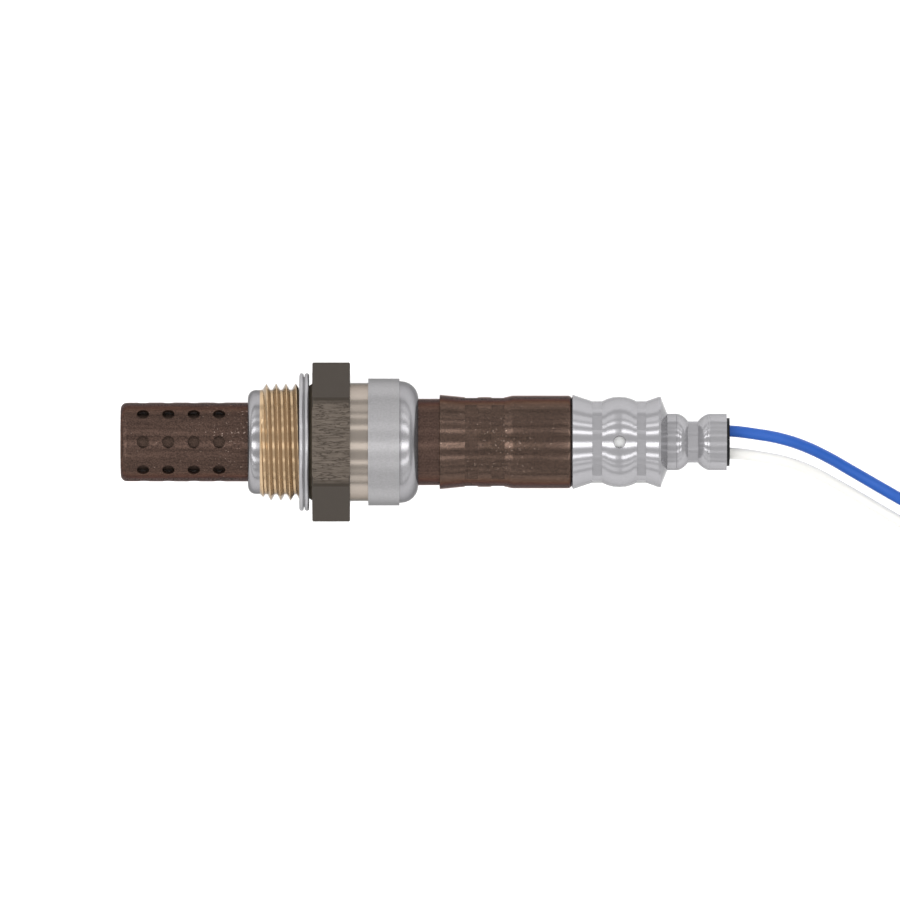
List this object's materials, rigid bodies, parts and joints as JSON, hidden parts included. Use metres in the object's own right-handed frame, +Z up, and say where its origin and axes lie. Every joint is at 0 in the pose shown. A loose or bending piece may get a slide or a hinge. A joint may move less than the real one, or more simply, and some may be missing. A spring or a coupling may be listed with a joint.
{
  "type": "oxygen sensor",
  "caption": "Screw-in exhaust oxygen sensor: perforated double probe cover, threaded hexagon body with sealing ring, crimped tubes, vented rear cover, leads to a sealed connector.",
  "frame": {"origin": "on the sensor's axis in the plane of the gasket's front face, where the exhaust boss meets the gasket", "axes": "+X along the sensor's axis from the probe to the leads, +Z up out of the surface that the lower hexagon flat rests on, +Y to the left when looking along +X"},
  "size_m": [0.1825, 0.0354, 0.022],
  "materials": {
    "housing_steel": "plated and heat-tinted steel",
    "gasket_steel": "plain stainless steel",
    "heat_tinted_steel": "stainless steel heat-tinted brown",
    "zirconia": "sintered zirconia",
    "talc": "pressed talc powder",
    "alumina": "sintered alumina",
    "contact_nickel": "plated spring sheet",
    "ptfe": "porous fluoropolymer",
    "rear_steel": "satin stainless steel",
    "black_rubber": "moulded fluoro rubber",
    "blue_insulation": "extruded wire insulation",
    "white_insulation": "extruded wire insulation",
    "black_nylon": "moulded nylon",
    "connector_plastic": "moulded glass-filled nylon",
    "seal_silicone": "moulded silicone",
    "lock_plastic": "moulded polyester",
    "terminal_brass": "stamped brass"
  },
  "bodies": {
    "root": {"housing": "housing_steel", "gasket": "gasket_steel", "outer_probe_cover": "heat_tinted_steel", "inner_probe_cover": "heat_tinted_steel", "sensing_element": "zirconia", "element_seat_washer": "gasket_steel", "talc_packing": "talc", "packing_ring": "alumina", "caulking_ring": "gasket_steel", "inner_tube": "heat_tinted_steel", "outer_sleeve": "heat_tinted_steel", "ground_contact": "contact_nickel", "signal_contact": "contact_nickel", "terminal_insulator": "alumina", "insulator_spring": "gasket_steel", "vent_filter": "ptfe", "rear_cover": "rear_steel", "grommet": "black_rubber", "blue_lead": "blue_insulation", "white_lead": "white_insulation", "lead_coil": "blue_insulation", "lead_tie": "black_nylon", "connector_housing": "connector_plastic", "connector_seal": "seal_silicone", "connector_lock": "lock_plastic", "connector_terminal_1": "terminal_brass", "connector_terminal_2": "terminal_brass", "wire_seal_1": "seal_silicone", "wire_seal_2": "seal_silicone"}
  },
  "joints": []
}
